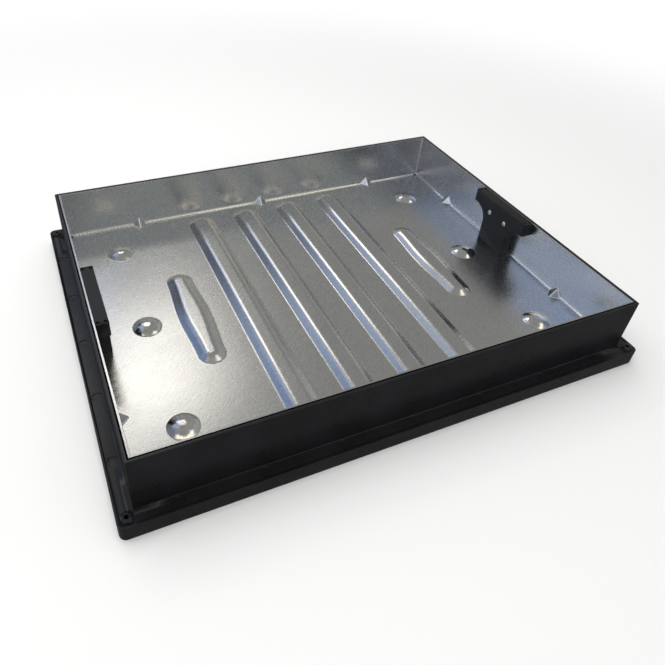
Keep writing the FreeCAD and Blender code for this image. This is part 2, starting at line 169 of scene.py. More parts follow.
# %% A finish starts with its surface shader
class Finish:
    """A material with a Principled surface, fed from a graph."""

    def __init__(self, name, **fixed):
        self.material = bpy.data.materials.new(name)
        self.material.use_nodes = True
        tree = self.material.node_tree
        self.surface = tree.nodes["Principled BSDF"]
        self.graph = Graph(tree)
        for socket, value in fixed.items():
            self.surface.inputs[socket.replace("_", " ")].default_value = value
        self.place = self.graph.node("ShaderNodeTexCoord", out="Object")

    def feed(self, socket, value):
        """Links a varying value to a socket of the surface."""
        self.graph.tree.links.new(value.socket, self.surface.inputs[socket])

    def grain(self, size, detail=3.0, rough=0.55, stretch=(1, 1, 1), turn=0.0):
        """Noise from 0 to 1 with features of about this size in metres, stretched along its turned X axis."""
        placed = self.graph.node("ShaderNodeMapping", {"vector_type": "TEXTURE"},
                                 {"Vector": self.place, "Rotation": (0, 0, math.radians(turn)), "Scale": stretch})
        return self.graph.node("ShaderNodeTexNoise", None,
                               {"Vector": placed, "Scale": 1 / size, "Detail": detail, "Roughness": rough})

    def mix(self, share, low, high):
        """Colour between two colours."""
        return self.graph.node("ShaderNodeMix", {"data_type": "RGBA"}, {0: share, 6: low, 7: high}, out=2)

    def bump(self, height, distance, strength=1.0, under=None):
        """Normal from a height; distance is the height's full range in metres."""
        values = {"Height": height, "Distance": distance, "Strength": strength}
        if under is not None:
            values["Normal"] = under
        return self.graph.node("ShaderNodeBump", None, values)


print("finishes start here")

# %% [markdown]
# ## Galvanised sheet
# Zinc-coated sheet is a satin metal. Close up it has a fine speckle from the zinc's crystals, faint lines from the
# rolling and wiping of the strip, and soft cloudy patches. The sheet is never quite flat either, so the slow
# waves bend what it mirrors. The waves are in the mesh, and everything finer is here.

# %% Galvanised sheet
STREAK_TURN = 45.0       # degrees from X to the wiping lines
POLISHED = 0.55          # share of the roughness that is left where the press has rubbed the zinc


def galvanised():
    """Zinc-coated steel sheet, smoother where it was stretched over the press's forms."""
    finish = Finish("galvanised_sheet", Metallic=1.0)
    speckle = finish.grain(2.6 * MM, detail=3.0, rough=0.65)
    cloud = finish.grain(50 * MM, detail=3.0)
    streak = finish.grain(1.3 * MM, detail=1.0, stretch=(14, 1, 1), turn=STREAK_TURN).ramp(0.3, 0.7)
    tone = speckle.ramp(0.3, 0.7) * 0.45 + streak * 0.3 + cloud * 0.25
    rubbed = finish.graph.node("ShaderNodeAttribute", {"attribute_name": "rubbed"}, out="Fac")
    zinc = finish.mix(tone, grey(0.53), grey(0.71))
    polished = finish.mix(streak, grey(0.62), grey(0.84))
    finish.feed("Base Color", finish.mix(rubbed * 0.8, zinc, polished))
    rough = speckle * 0.10 + cloud * 0.06 + 0.18
    finish.feed("Roughness", rough * (1 - rubbed * (1 - POLISHED)))
    fine = finish.bump(finish.grain(3.6 * MM, detail=1.0), 0.06 * MM, 0.6)
    finish.feed("Normal", fine)
    return finish.material


galvanised_sheet = galvanised()
print("made", galvanised_sheet.name)

# %% [markdown]
# ## Moulded plastic
# The frame and the lifting sockets are moulded in black. Such plastic has a faint grain, and it greys a little
# where it has been handled, so its colour and its gloss vary slowly.

# %% Black plastics
def black_plastic(name, level, roughness, tint=(0.9, 0.95, 1.1)):
    """Moulded black plastic with a fine grain and scuffed patches."""
    finish = Finish(name, Specular_IOR_Level=0.35)
    grain = finish.grain(0.9 * MM, detail=2.0)
    patch = finish.grain(60 * MM, detail=4.0, rough=0.6)
    dark = tuple(level * 0.8 * part for part in tint) + (1,)
    pale = tuple(level * 1.3 * part for part in tint) + (1,)
    finish.feed("Base Color", finish.mix(patch.ramp(0.35, 0.7), dark, pale))
    finish.feed("Roughness", patch * 0.12 + grain * 0.08 + (roughness - 0.1))
    finish.feed("Normal", finish.bump(grain, 0.04 * MM, 0.6))
    return finish.material


frame_plastic = black_plastic("frame_plastic", 0.011, 0.29)
block_plastic = black_plastic("block_plastic", 0.010, 0.45)
cap_plastic = black_plastic("cap_plastic", 0.008, 0.40)
print("made", frame_plastic.name, block_plastic.name, cap_plastic.name)

# %% Small metals and the foam
def small_metal(name, level, roughness):
    """Plain bright metal with a fine scratched grain."""
    finish = Finish(name, Metallic=1.0)
    grain = finish.grain(0.5 * MM, detail=2.0)
    finish.feed("Base Color", finish.mix(grain, grey(level * 0.8), grey(level)))
    finish.feed("Roughness", grain * 0.15 + roughness)
    finish.feed("Normal", finish.bump(grain, 0.02 * MM, 0.5))
    return finish.material


def foam():
    """Closed-cell foam strip."""
    finish = Finish("seal_foam", Roughness=0.9)
    cells = finish.grain(1.2 * MM, detail=1.0)
    finish.feed("Base Color", finish.mix(cells, grey(0.02), grey(0.05)))
    finish.feed("Normal", finish.bump(cells, 0.3 * MM, 0.8))
    return finish.material


rivet_metal = small_metal("rivet_metal", 0.85, 0.18)
key_plate_steel = small_metal("key_plate_steel", 0.6, 0.3)
weld_metal = small_metal("weld_metal", 0.8, 0.25)
seal_foam = foam()
print("made", rivet_metal.name, key_plate_steel.name, weld_metal.name, seal_foam.name)

# %% [markdown]
# ## Sizes that come from the solids
# The sheet's inner faces are where the tray's solid has them. Only the forms pressed into its floor are given
# again here, in millimetres, because the box of a solid doesn't tell them.

# %% The tray's main sizes
SHEET = 2 * MM
BEND = 4 * MM
tray_low, tray_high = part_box("tray")
FLOOR_Z = tray_low.z + SHEET
RIM_Z = tray_high.z
INSIDE_X = tray_high.x - SHEET
INSIDE_Y = tray_high.y - SHEET
print("tray inside", [round(1000 * size, 1) for size in (2 * INSIDE_X, 2 * INSIDE_Y, RIM_Z - FLOOR_Z)], "mm")

# %% Forms pressed into the floor
SWAGE_HEIGHT = 6.0 * MM
SWAGE_RUN = 10.5 * MM
FOOT_EASE = 1.2 * MM     # half the width of the rounding at a swage's foot
CREST_EASE = 3.8 * MM    # and along its crest
LONG_PLACES = [-114 * MM, -38 * MM, 38 * MM, 114 * MM]
LONG_WIDTH = 41.5 * MM
LONG_HALF = INSIDE_Y - 14 * MM
SHORT_X = INSIDE_X - 130 * MM
SHORT_HALF = 92.5 * MM
SHORT_WIDTH = 43 * MM
SHORT_END = 35 * MM
DOME_X = INSIDE_X - 66 * MM
DOME_Y = 172 * MM
DOME_HALF = 18.5 * MM
DOME_HEIGHT = 5.8 * MM
DOME_POWER = 2.5         # above 2, flatter on top and steeper at the foot
DART_HALF = 11.5 * MM
DART_REACH = 12.5 * MM
LONG_WALL_DARTS = (-208 * MM, 0.0, 208 * MM)
SHORT_WALL_DARTS = (-137 * MM, 137 * MM)


def rounded(inside):
    """Height at a distance inside a swage's foot line: a slope rounded at foot and crest."""
    rise = SWAGE_HEIGHT / SWAGE_RUN
    foot = np.clip(inside + FOOT_EASE, 0, 2 * FOOT_EASE) ** 2 / (4 * FOOT_EASE)
    slope = np.clip(inside - FOOT_EASE, 0, None)
    over = np.clip(inside - SWAGE_RUN + CREST_EASE, 0, 2 * CREST_EASE) ** 2 / (4 * CREST_EASE)
    beyond = np.clip(inside - SWAGE_RUN - CREST_EASE, 0, None)
    return rise * (foot + slope - over - beyond)


def swell(along):
    """Share of a swage's extra width, from 1 at its middle to 0 where its round ends start."""
    return (1 + np.cos(math.pi * along)) / 2


def swage_height(x, y, centre, half_length, middle_width, end_width):
    """Height of a round-ended form that lies along Y and swells to its middle width."""
    straight = half_length - end_width / 2
    share = swell(np.clip(y / straight, -1, 1))
    half_width = (end_width + (middle_width - end_width) * share) / 2
    out = np.hypot(x - centre, np.maximum(np.abs(y) - straight, 0))
    return rounded(half_width - out)


def dome_height(x, y, centre_x, centre_y):
    """Height of a round cap whose foot flares into the floor."""
    out = np.hypot(x - centre_x, y - centre_y)
    cap = DOME_HEIGHT * (1 - (out / DOME_HALF) ** DOME_POWER)
    flare = 0.7 * MM
    return np.where(cap > flare, cap, np.clip(cap + flare, 0, None) ** 2 / (4 * flare))


def swages(x, y):
    """Height of all swages over the flat floor."""
    total = np.zeros_like(x)
    for centre in LONG_PLACES:
        total += swage_height(x, y, centre, LONG_HALF, LONG_WIDTH, LONG_WIDTH)
    for side in (-1, 1):
        total += swage_height(x, y, side * SHORT_X, SHORT_HALF, SHORT_WIDTH, SHORT_END)
    return total


def domes(x, y):
    """Height of all domes over the flat floor."""
    total = np.zeros_like(x)
    for side in (-1, 1):
        for centre_y in (-DOME_Y, 0, DOME_Y):
            total += dome_height(x, y, side * DOME_X, centre_y)
    return total


def floor_height(x, y):
    """Height of the pressed forms over the flat floor."""
    return swages(x, y) + domes(x, y)


probe = floor_height(np.array([0.0, LONG_PLACES[2], DOME_X]), np.zeros(3))
print("heights between, on a swage and on a dome:", np.round(probe * 1000, 2).tolist(), "mm")

# %% [markdown]
# ## The pressed tray
# Bright metal shows every wobble of a mesh, so its edges have to run along the forms. The blank of a folded tray is
# a cross: a floor and four walls. It is drawn flat, like a cutting plan, with lines along the foot and the crest of
# each form and along the bends. A triangulation joins the lines, and one formula folds the whole blank.

# %% Draw on the flat blank
WIDEST = 12 * MM
BEND_STEPS = 6
HOLE_RADIUS = 2.6 * MM   # notch at each corner of the floor, so that the bends don't tear
flat_x = INSIDE_X - BEND
flat_y = INSIDE_Y - BEND
bend_length = BEND * math.pi / 2
wall_length = RIM_Z - FLOOR_Z - BEND + bend_length


class Drawing:
    """Points of the flat blank, and the lines that the mesh has to follow."""

    def __init__(self):
        self.points = []
        self.lines = []

    def line(self, places, closed=False):
        first = len(self.points)
        self.points += places
        count = len(places)
        for step in range(count if closed else count - 1):
            self.lines.append((first + step, first + (step + 1) % count))
        return list(range(first, first + count))


def spaced(low, high, widest):
    """Even places from low to high, no further apart than widest."""
    parts = max(1, math.ceil((high - low) / widest - 1e-6))
    return [low + (high - low) * part / parts for part in range(parts + 1)]


def arc(centre_x, centre_y, radius, start, stop, steps):
    """Points on an arc, with angles in degrees."""
    angles = [math.radians(start + (stop - start) * step / steps) for step in range(steps + 1)]
    return [(centre_x + radius * math.cos(angle), centre_y + radius * math.sin(angle)) for angle in angles]


up_lines = [bend_length * step / BEND_STEPS for step in range(BEND_STEPS)] + spaced(bend_length, wall_length, WIDEST)
up_end = [HOLE_RADIUS] + [up for up in up_lines if up > HOLE_RADIUS + 0.2 * MM]
print("the blank is", round(2000 * (flat_x + wall_length)), "by", round(2000 * (flat_y + wall_length)), "mm")

# %% Outline and bends
def outline():
    """The cross, with three quarters of a circle notched out at each corner of the floor."""
    quarter = []
    for up in reversed(up_end[1:]):
        quarter.append((flat_x + up, flat_y))
    quarter += arc(flat_x, flat_y, HOLE_RADIUS, 0, -270, 24)
    for up in up_end[1:]:
        quarter.append((flat_x, flat_y + up))
    top = spaced(-flat_x, flat_x, WIDEST)[1:-1]
    side = spaced(-flat_y, flat_y, WIDEST)[1:-1]
    places = list(quarter)
    places += [(x, flat_y + wall_length) for x in reversed(top)]
    places += [(-x, y) for x, y in reversed(quarter)]
    places += [(-flat_x - wall_length, y) for y in reversed(side)]
    places += [(-x, -y) for x, y in quarter]
    places += [(x, -flat_y - wall_length) for x in top]
    places += [(x, -y) for x, y in reversed(quarter)]
    places += [(flat_x + wall_length, y) for y in side]
    return places


def bend_lines():
    """Lines along the four bends, and looser ones up the walls."""
    for up in up_lines[:-1]:
        keep = math.sqrt(max(HOLE_RADIUS ** 2 - up ** 2, 0))
        for side in (-1, 1):
            for flat_out, flat_end, flip in ((flat_x, flat_y, False), (flat_y, flat_x, True)):
                end = flat_end - (keep + 0.4 * MM if keep else 0)
                along = spaced(-end, end, WIDEST / 2 if up < bend_length + 1 * MM else WIDEST)
                if not keep:
                    along = along[1:-1]
                row = [(side * (flat_out + up), place) for place in along]
                yield [place[::-1] for place in row] if flip else row


# %% Lines along the pressed forms
def swage_line(centre, half_length, middle_width, end_width, inside):
    """Closed line at a distance inside a swage's foot."""
    straight = half_length - end_width / 2
    radius = end_width / 2 - inside
    waist = middle_width / 2 - inside
    steps = 20
    ends = arc(centre, straight, radius, 0, 180, steps)
    sides = [share / 10 for share in range(-9, 10)]
    right = [(centre + radius + (waist - radius) * swell(share), straight * share) for share in sides]
    left = [(2 * centre - x, -y) for x, y in right]
    return ends + left + [(2 * centre - x, -y) for x, y in ends] + right


SWAGE_LINES = [-3 * MM, -FOOT_EASE, -FOOT_EASE / 3, FOOT_EASE / 3, FOOT_EASE, SWAGE_RUN / 2 - 0.5 * MM]
SWAGE_LINES += [SWAGE_RUN + CREST_EASE * share for share in (-1, -0.6, -0.2, 0.2, 0.6, 1, 1.4)]
DOME_RINGS = [22, 20.3, 19.6, 18.9, 18.2, 17.5, 15.5, 13, 10, 7, 4]


def form_lines():
    """Lines along all swages and domes."""
    for inside in SWAGE_LINES:
        for centre in LONG_PLACES:
            yield swage_line(centre, LONG_HALF, LONG_WIDTH, LONG_WIDTH, inside)
        for side in (-1, 1):
            yield swage_line(side * SHORT_X, SHORT_HALF, SHORT_WIDTH, SHORT_END, inside)
    for ring in DOME_RINGS:
        for side in (-1, 1):
            for centre_y in (-DOME_Y, 0, DOME_Y):
                yield arc(side * DOME_X, centre_y, ring * MM, 0, 360, 60)[:-1]


# %% Points between the lines
DART_STEP = 1.1 * MM


def dart_points():
    """Close points under each dart, where the floor and the wall are folded into a ridge."""
    across = spaced(-DART_HALF - 1 * MM, DART_HALF + 1 * MM, DART_STEP)
    floor_side = spaced(-DART_REACH - 1 * MM, -DART_STEP, DART_STEP)
    wall_side = spaced(bend_length + DART_STEP, bend_length + DART_REACH + 1 * MM, DART_STEP)
    outs = floor_side + up_lines[:BEND_STEPS + 1] + wall_side
    for flat_out, places, flip in ((flat_y, LONG_WALL_DARTS, True), (flat_x, SHORT_WALL_DARTS, False)):
        for side in (-1, 1):
            for place in places:
                for out in outs:
                    for step in across:
                        point = (side * (flat_out + out), place + step)
                        yield point[::-1] if flip else point


def near_dart(x, y):
    """In the patch of close points under a dart."""
    room = DART_HALF + 3 * MM
    along_x = abs(abs(y) - flat_y) < DART_REACH + 8 * MM and min(abs(x - place) for place in LONG_WALL_DARTS) < room
    along_y = abs(abs(x) - flat_x) < DART_REACH + 8 * MM and min(abs(y - place) for place in SHORT_WALL_DARTS) < room
    return along_x or along_y


def near_form(x, y):
    """So close to the lines of a swage or a dome that no loose point is needed."""
    for side in (-1, 1):
        for centre_y in (-DOME_Y, 0, DOME_Y):
            if math.hypot(x - side * DOME_X, y - centre_y) < 26 * MM:
                return True
    forms = [(centre, LONG_HALF, LONG_WIDTH / 2) for centre in LONG_PLACES]
    forms += [(side * SHORT_X, SHORT_HALF, SHORT_WIDTH / 2) for side in (-1, 1)]
    for centre, half_length, half_width in forms:
        straight = half_length - half_width
        inside = half_width - math.hypot(x - centre, max(abs(y) - straight, 0))
        if inside > -7 * MM:
            return True
    return False


def loose_points():
    """Points every WIDEST where nothing else shapes the sheet, which carry its slow waves."""
    for x in spaced(-flat_x, flat_x, WIDEST)[1:-1]:
        for y in spaced(-flat_y, flat_y, WIDEST)[1:-1]:
            if not near_form(x, y) and not near_dart(x, y):
                yield (x, y)
    for centre in LONG_PLACES:
        for y in spaced(-LONG_HALF + LONG_WIDTH / 2, LONG_HALF - LONG_WIDTH / 2, WIDEST):
            yield (centre, y)


# %% Triangulate the blank
def flat_blank():
    """The blank as a mesh of triangles, with a narrow strip at each end of a wall."""
    drawing = Drawing()
    rim = drawing.line(outline(), closed=True)
    for places in bend_lines():
        clear = [place for place in places if not near_dart(*place)]
        if len(clear) == len(places):
            drawing.line(places)
        else:
            drawing.points += clear
    for places in form_lines():
        drawing.line(places, closed=True)
    drawing.points += list(dart_points())
    drawing.points += list(loose_points())
    points = [Vector(point) for point in drawing.points]
    places, edges, faces, *origins = delaunay_2d_cdt(points, drawing.lines, [rim], 1, 1e-6)
    work = bmesh.new()
    verts = [work.verts.new((place.x, place.y, 0)) for place in places]
    for face in faces:
        work.faces.new([verts[index] for index in face])
    add_mitres(work)
    return work


MITRE = 1 * MM           # width on the blank of the strip that reaches to the next wall


def add_mitres(work):
    """Adds the strips that close the upright corners. The third coordinate marks whose wall they belong to."""
    close = 0.01 * MM
    base = list(work.verts)
    for sx in (-1, 1):
        for sy in (-1, 1):
            for mark in (-1, 1):
                if mark < 0:
                    row = [vert for vert in base if abs(vert.co.y - sy * flat_y) < close
                           and sx * vert.co.x > flat_x + HOLE_RADIUS - close]
                    row.sort(key=lambda vert: sx * vert.co.x)
                    shift = Vector((0, sy * MITRE, mark))
                else:
                    row = [vert for vert in base if abs(vert.co.x - sx * flat_x) < close
                           and sy * vert.co.y > flat_y + HOLE_RADIUS - close]
                    row.sort(key=lambda vert: sy * vert.co.y)
                    shift = Vector((sx * MITRE, 0, mark))
                outer = [work.verts.new(vert.co + shift) for vert in row]
                for step in range(len(row) - 1):
                    work.faces.new((row[step], row[step + 1], outer[step + 1], outer[step]))


blank = flat_blank()
print("blank:", len(blank.verts), "points and", len(blank.faces), "faces")

# %% [markdown]
# Folding turns each place on the flat blank into a place in space: round the bend first, then straight up. The
# darts are folded last, as ridges that cut each corner between floor and wall. The sheet is never quite flat, so
# slow waves are added away from its bends.

# %% Fold the blank
WAVE = 0.45 * MM         # how far the sheet strays from flat
WAVE_LENGTH = 170 * MM
TOUCH = 0.01 * MM


def folded(x, y, strip):
    """Places in space of places on the blank."""
    out_x = np.maximum(np.abs(x) - flat_x, 0)
    out_y = np.maximum(np.abs(y) - flat_y, 0)
    on_x = (strip < 0) | ((strip == 0) & (out_x > TOUCH))
    length = np.where(on_x, out_x, out_y)
    turn = np.minimum(length / BEND, math.pi / 2)
    reach = BEND * np.sin(turn)
    rise = BEND * (1 - np.cos(turn)) + np.maximum(length - bend_length, 0)
    off_x = np.where(on_x | (strip > 0), reach, 0)
    off_y = np.where(~on_x | (strip < 0), reach, 0)
    return (np.clip(x, -flat_x, flat_x) + np.sign(x) * off_x,
            np.clip(y, -flat_y, flat_y) + np.sign(y) * off_y, rise)


def dart_push(x, y, z):
    """Folds the corner between floor and wall into the darts' ridges."""
    ridge = 0.35 * MM
    soft = 0.4 * MM
    for along_x, half, places in ((True, INSIDE_Y, LONG_WALL_DARTS), (False, INSIDE_X, SHORT_WALL_DARTS)):
        out, lateral = (y, x) if along_x else (x, y)
        gap = half - np.abs(out)
        near = np.zeros_like(gap)
        for place in places:
            off = np.sqrt((lateral - place) ** 2 + ridge ** 2) - ridge
            near = np.maximum(near, DART_REACH * (1 - off / DART_HALF))
        over = near - (gap + z)
        lift = np.where(over > soft, over, np.clip(over + soft, 0, None) ** 2 / (4 * soft))
        lift = np.where(near > 0.3 * MM, lift, 0) / 2
        z = z + lift
        if along_x:
            y = y - np.sign(y) * lift
        else:
            x = x - np.sign(x) * lift
    return x, y, z


def wave(x, y, z, seed):
    """Slow unevenness at each point, from -1 to 1."""
    places = np.stack([x, y, z], axis=1) / WAVE_LENGTH
    return np.array([noise.noise(Vector(place) + Vector((seed, 0, 0))) for place in places.tolist()])


def pressed(places):
    """All places of the blank, folded, pressed and a little uneven."""
    x, y, strip = places.T
    on_floor = (np.abs(x) < flat_x + TOUCH) & (np.abs(y) < flat_y + TOUCH)
    x, y, z = folded(x, y, strip)
    x, y, z = dart_push(x, y, z)
    calm = np.clip(np.minimum(INSIDE_X - np.abs(x), INSIDE_Y - np.abs(y)) / (40 * MM), 0, 1) ** 2
    z = z + np.where(on_floor, floor_height(x, y) + WAVE * calm * wave(x, y, z, 0), 0)
    share = np.clip(z / (RIM_Z - FLOOR_Z), 0, 1)
    bow = np.where(on_floor, 0, 1.2 * WAVE * np.clip(4 * share * (1 - share), 0, 1))
    near_x = np.clip((INSIDE_X - np.abs(x)) / (30 * MM), 0, 1)
    near_y = np.clip((INSIDE_Y - np.abs(y)) / (30 * MM), 0, 1)
    x = x - np.sign(x) * bow * near_y * (near_x < 0.1) * np.abs(wave(x, y, z, 11))
    y = y - np.sign(y) * bow * near_x * (near_y < 0.1) * np.abs(wave(x, y, z, 23))
    return np.stack([x, y, z + FLOOR_Z], axis=1)


def tray_surface(work):
    """The tray's inner skin as one mesh."""
    work.verts.ensure_lookup_table()
    places = np.array([vert.co for vert in work.verts])
    for vert, place in zip(work.verts, pressed(places).tolist()):
        vert.co = place
    bmesh.ops.remove_doubles(work, verts=work.verts, dist=0.01 * MM)
    bmesh.ops.recalc_face_normals(work, faces=work.faces)
    if sum(face.normal.z * face.calc_area() for face in work.faces) < 0:
        bmesh.ops.reverse_faces(work, faces=work.faces)
    mesh = bpy.data.meshes.new("pressed_tray")
    work.to_mesh(mesh)
    work.free()
    return mesh


def plain_mesh(piece):
    """Applies a piece's modifiers to its mesh."""
    graph = bpy.context.evaluated_depsgraph_get()
    applied = bpy.data.meshes.new_from_object(piece.evaluated_get(graph), preserve_all_data_layers=True,
                                              depsgraph=graph)
    piece.modifiers.clear()
    piece.data = applied
    return piece


def mark_rubbed(mesh):
    """Stores how far the press has polished each vertex, from 0 to 1."""
    places = np.empty(3 * len(mesh.vertices))
    mesh.vertices.foreach_get("co", places)
    places = places.reshape(-1, 3)
    inside = (np.abs(places[:, 0]) < flat_x) & (np.abs(places[:, 1]) < flat_y)
    dome_share = np.clip(domes(places[:, 0], places[:, 1]) / (1 * MM), 0, 1)
    rise = swages(places[:, 0], places[:, 1]) / SWAGE_HEIGHT
    slope_share = np.clip(8 * rise * (1 - rise), 0, 1) * 0.5
    store = mesh.attributes.new("rubbed", "FLOAT", "POINT")
    store.data.foreach_set("value", np.where(inside, np.maximum(dome_share, slope_share), 0))


def link(name, mesh):
    """A new object in the scene."""
    piece = bpy.data.objects.new(name, mesh)
    bpy.context.scene.collection.objects.link(piece)
    return piece


def pressed_tray():
    """The folded sheet with its thickness."""
    piece = link("pressed_tray", tray_surface(blank))
    solid = piece.modifiers.new("thickness", "SOLIDIFY")
    solid.thickness = SHEET
    solid.offset = -1
    solid.use_even_offset = True
    plain_mesh(piece)
    mark_rubbed(piece.data)
    piece.data.shade_smooth()
    piece.data.set_sharp_from_angle(angle=math.radians(50))
    flat = piece.modifiers.new("flat faces win", "WEIGHTED_NORMAL")
    flat.keep_sharp = True
    flat.weight = 80
    plain_mesh(piece)
    piece.data.materials.clear()
    piece.data.materials.append(galvanised_sheet)
    return piece


tray = pressed_tray()
print("pressed tray:", sum(len(face.vertices) - 2 for face in tray.data.polygons), "triangles")

# %% [markdown]
# ## Moulded pieces
# The solids arrive as loose flat triangles. A copy with its doubles merged can be shaded smoothly: edges sharper
# than a limit stay crisp, and weighting each corner by its largest face keeps the flat faces truly flat.

# %% Smooth copies of the solids
def smooth_copy(node, name, finish, crisp=32.0):
    """A merged copy of a solid with clean smooth shading."""
    piece = link(name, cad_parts[node].data.copy())
    work = bmesh.new()
    work.from_mesh(piece.data)
    bmesh.ops.remove_doubles(work, verts=work.verts, dist=0.002 * MM)
    work.to_mesh(piece.data)
    work.free()
    piece.data.shade_smooth()
    piece.data.set_sharp_from_angle(angle=math.radians(crisp))
    weight = piece.modifiers.new("weight", "WEIGHTED_NORMAL")
    weight.keep_sharp = True
    weight.weight = 100
    plain_mesh(piece)
    piece.data.materials.clear()
    piece.data.materials.append(finish)
    return piece


def dress(node, finish):
    """Gives a solid that stays its finish."""
    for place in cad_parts[node].material_slots:
        place.material = finish


moulded_frame = smooth_copy("frame", "moulded_frame", frame_plastic)
blocks = [smooth_copy("lift_block_" + end, "socket_block_" + end, block_plastic, 50) for end in ("left", "right")]
caps = [smooth_copy("lift_cap_" + end, "socket_cap_" + end, cap_plastic, 50) for end in ("left", "right")]
rivets = smooth_copy("block_rivets", "hollow_rivets", rivet_metal, 60)
for end in ("left", "right"):
    dress("key_plate_" + end, key_plate_steel)
dress("seal_strip", seal_foam)
print("smooth copies:", moulded_frame.name, [block.name for block in blocks], [cap.name for cap in caps])

# %% [markdown]
# ## Welds in the upright corners
# Each corner of the folded sheet is closed by a thin run of weld. A run is many small beads that overlap, each of
# a slightly different size, so it is made with Geometry Nodes: a line of points, one bead on each, and random
# scale and place from a fixed seed.

# %% A tree that lays beads along an upright line
def bead_tree():
    """Geometry Nodes that lay weld beads up a corner."""
    tree = bpy.data.node_groups.new("weld_run", "GeometryNodeTree")
    sockets = [("Start", "NodeSocketVector"), ("End", "NodeSocketVector"), ("Count", "NodeSocketInt"),
               ("Size", "NodeSocketFloat"), ("Seed", "NodeSocketInt"), ("Finish", "NodeSocketMaterial")]
    for name, kind in sockets:
        tree.interface.new_socket(name, in_out="INPUT", socket_type=kind)
    tree.interface.new_socket("Geometry", in_out="OUTPUT", socket_type="NodeSocketGeometry")
    graph = Graph(tree)
    given = tree.nodes.new("NodeGroupInput")

    def value(name):
        return Out(graph, given.outputs[name])

    line = graph.node("GeometryNodeMeshLine", {"mode": "END_POINTS"},
                      {"Count": value("Count"), "Start Location": value("Start"), "Offset": value("End")})
    stray = graph.node("FunctionNodeRandomValue", {"data_type": "FLOAT_VECTOR"},
                       {"Min": (-0.4 * MM, -0.4 * MM, -0.3 * MM), "Max": (0.4 * MM, 0.4 * MM, 0.3 * MM),
                        "Seed": value("Seed")})
    placed = graph.node("GeometryNodeSetPosition", None, {"Geometry": line, "Offset": stray})
    bead = graph.node("GeometryNodeMeshIcoSphere", None, {"Radius": value("Size"), "Subdivisions": 2})
    scale = graph.node("FunctionNodeRandomValue", {"data_type": "FLOAT_VECTOR"},
                       {"Min": (0.7, 0.7, 0.9), "Max": (1.25, 1.25, 1.8), "Seed": value("Seed") + 1})
    run = graph.node("GeometryNodeInstanceOnPoints", None, {"Points": placed, "Instance": bead, "Scale": scale})
    real = graph.node("GeometryNodeRealizeInstances", None, {"Geometry": run})
    smooth = graph.node("GeometryNodeSetShadeSmooth", None, {"Geometry": real})
    painted = graph.node("GeometryNodeSetMaterial", None, {"Geometry": smooth, "Material": value("Finish")})
    end = tree.nodes.new("NodeGroupOutput")
    tree.links.new(painted.socket, end.inputs[0])
    return tree


def set_inputs(modifier, **values):
    """Sets a modifier's inputs by their names, through the sockets' identifiers."""
    for item in modifier.node_group.interface.items_tree:
        if item.item_type == "SOCKET" and item.in_out == "INPUT" and item.name in values:
            modifier[item.identifier] = values[item.name]


BEAD_SIZE = 1.1 * MM
BEAD_PITCH = 1.5 * MM


def weld_run(tree, name, sx, sy, seed):
    """The beads in one corner."""
    inset = 0.5 * MM
    x = sx * (INSIDE_X - inset)
    y = sy * (INSIDE_Y - inset)
    low = FLOOR_Z + 5.5 * MM
    high = RIM_Z - 2.0 * MM
    piece = link(name, bpy.data.meshes.new(name))
    modifier = piece.modifiers.new("beads", "NODES")
    modifier.node_group = tree
    set_inputs(modifier, Start=(x, y, low), End=(x, y, high), Count=int((high - low) / BEAD_PITCH), Size=BEAD_SIZE,
               Seed=seed, Finish=weld_metal)
    return plain_mesh(piece)


run_tree = bead_tree()
welds = []
for number, (sx, sy) in enumerate(((-1, -1), (1, -1), (1, 1), (-1, 1))):
    welds.append(weld_run(run_tree, "corner_weld_" + str(number + 1), sx, sy, 11 + 5 * number))
print("welds:", [len(weld.data.polygons) for weld in welds])

# %% [markdown]
# ## Riding on the frame of solids
# Nothing moves on this cover, so every piece rides on the one body, root. Each new piece also hides the solids that it
# stands for.

# %% Ride and replace
def settle(piece, finish, *nodes):
    """Fixes a piece to the body and hides the solids that it stands for."""
    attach(piece, "root")
    if nodes:
        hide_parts(*nodes)


settle(tray, "galvanised_sheet", "tray")
settle(moulded_frame, "frame_plastic", "frame")
for end, block, cap in zip(("left", "right"), blocks, caps):
    settle(block, "block_plastic", "lift_block_" + end)
    settle(cap, "cap_plastic", "lift_cap_" + end)
settle(rivets, "rivet_metal", "block_rivets")
for weld in welds:
    settle(weld, "galvanised_sheet")
print("all pieces ride on root")

# %% [markdown]
# ## Floor, light and background
# The cover stands on a pale floor in a white studio. Bright metal shows what stands round it more than its own
# colour, so the light is made of a few broad soft sources: one overhead that the front of the tray's floor
# mirrors, a cooler one at the back left for the swages' slopes, and an even room.

# %% Floor
FLOOR_RADIUS = 6.0
GROUND_LEVEL = 0.14      # what mirrors see of the floor


